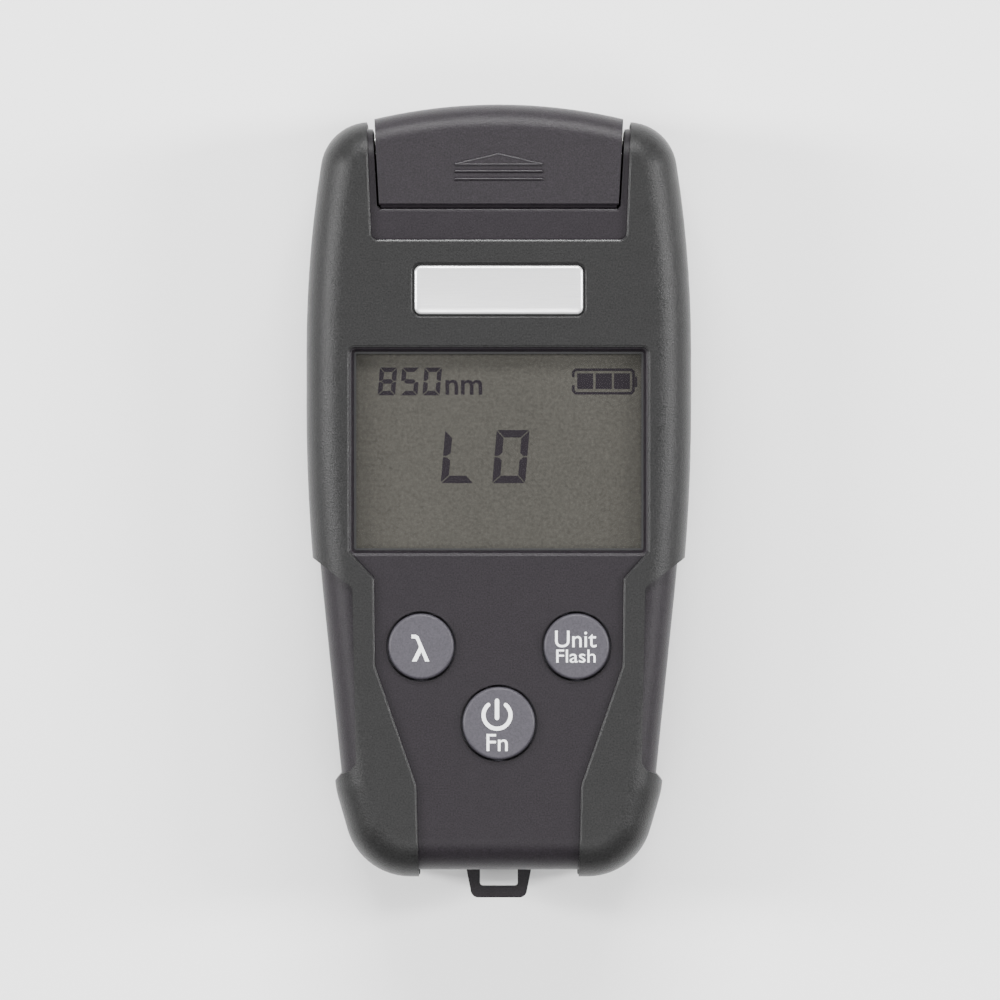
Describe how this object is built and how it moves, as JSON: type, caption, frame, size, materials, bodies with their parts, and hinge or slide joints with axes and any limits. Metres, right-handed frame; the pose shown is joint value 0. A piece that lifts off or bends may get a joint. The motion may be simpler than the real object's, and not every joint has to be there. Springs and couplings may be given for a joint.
{
  "type": "optical power meter",
  "caption": "Hand-held fibre-optic power meter: rubber-armoured case with display, round keys, flip-up port cover, lanyard loop and sliding battery door.",
  "frame": {"origin": "centre of the bounding box's base, with the meter lying on its back", "axes": "+Y towards the port end, +Z out of the front face, +X to the right of the display"},
  "size_m": [0.0648, 0.134, 0.0352],
  "materials": {
    "charcoal_plastic": "fine moulded grain, charcoal",
    "armour_rubber": "soft-touch rubber, dark green-grey",
    "cover_plastic": "fine moulded grain, charcoal",
    "key_plastic": "satin grey with white legends",
    "brushed_plate": "brushed, bare",
    "window_clear": "clear acrylic window",
    "lcd_cell": "reflective liquid crystal cell, olive grey",
    "white_plastic": "white light guide and frame",
    "strip_rubber": "conductive elastomer",
    "steel": "zinc-plated steel",
    "board_laminate": "green solder mask",
    "chip_black": "moulded epoxy",
    "nickel": "nickel-plated brass",
    "aluminium_block": "machined",
    "cell_sleeve": null
  },
  "bodies": {
    "case": {"front_shell": "charcoal_plastic", "rear_shell": "charcoal_plastic", "front_overmould": "armour_rubber", "rear_overmould": "armour_rubber", "hinge_pin": "steel", "hinge_washers": "charcoal_plastic", "name_plate": "brushed_plate", "display_window": "window_clear", "lcd_glass": "lcd_cell", "backlight_panel": "white_plastic", "display_frame": "white_plastic", "elastomer_strips": "strip_rubber", "main_board": "board_laminate", "board_screws": "steel", "case_screws": "steel", "controller_chip": "chip_black", "amplifier_chip": "chip_black", "crystal_can": "steel", "beeper": "chip_black", "board_header": "chip_black", "fibre_adapter": "nickel", "adapter_screws": "steel", "detector_mount": "aluminium_block", "photodiode": "nickel", "detector_board": "board_laminate", "battery_cell_left": "cell_sleeve", "battery_cell_right": "cell_sleeve", "contact_leaves": "steel", "contact_plates": "steel", "wavelength_switch": "chip_black", "unit_switch": "chip_black", "power_switch": "chip_black"},
    "wavelength_button": {"wavelength_key": "key_plastic", "wavelength_plunger": "chip_black"},
    "unit_button": {"unit_key": "key_plastic", "unit_plunger": "chip_black"},
    "power_button": {"power_key": "key_plastic", "power_plunger": "chip_black"},
    "cover": {"dust_cover": "cover_plastic"},
    "door": {"battery_door": "charcoal_plastic"}
  },
  "joints": [
    {"name": "cover_hinge", "type": "hinge", "parent": "case", "child": "cover", "pos_m": [0, 0.0613, 0.0075], "axis": [-1, 0, 0], "range_deg": [0, 90]},
    {"name": "door_slide", "type": "slide", "parent": "case", "child": "door", "axis": [0, -1, 0], "range_m": [0, 0.056]},
    {"name": "wavelength_press", "type": "slide", "parent": "case", "child": "wavelength_button", "axis": [0, 0, -1], "range_m": [0, 0.0005], "stiffness_N_per_m": 1200},
    {"name": "unit_press", "type": "slide", "parent": "case", "child": "unit_button", "axis": [0, 0, -1], "range_m": [0, 0.0005], "stiffness_N_per_m": 1200},
    {"name": "power_press", "type": "slide", "parent": "case", "child": "power_button", "axis": [0, 0, -1], "range_m": [0, 0.0005], "stiffness_N_per_m": 1200}
  ]
}
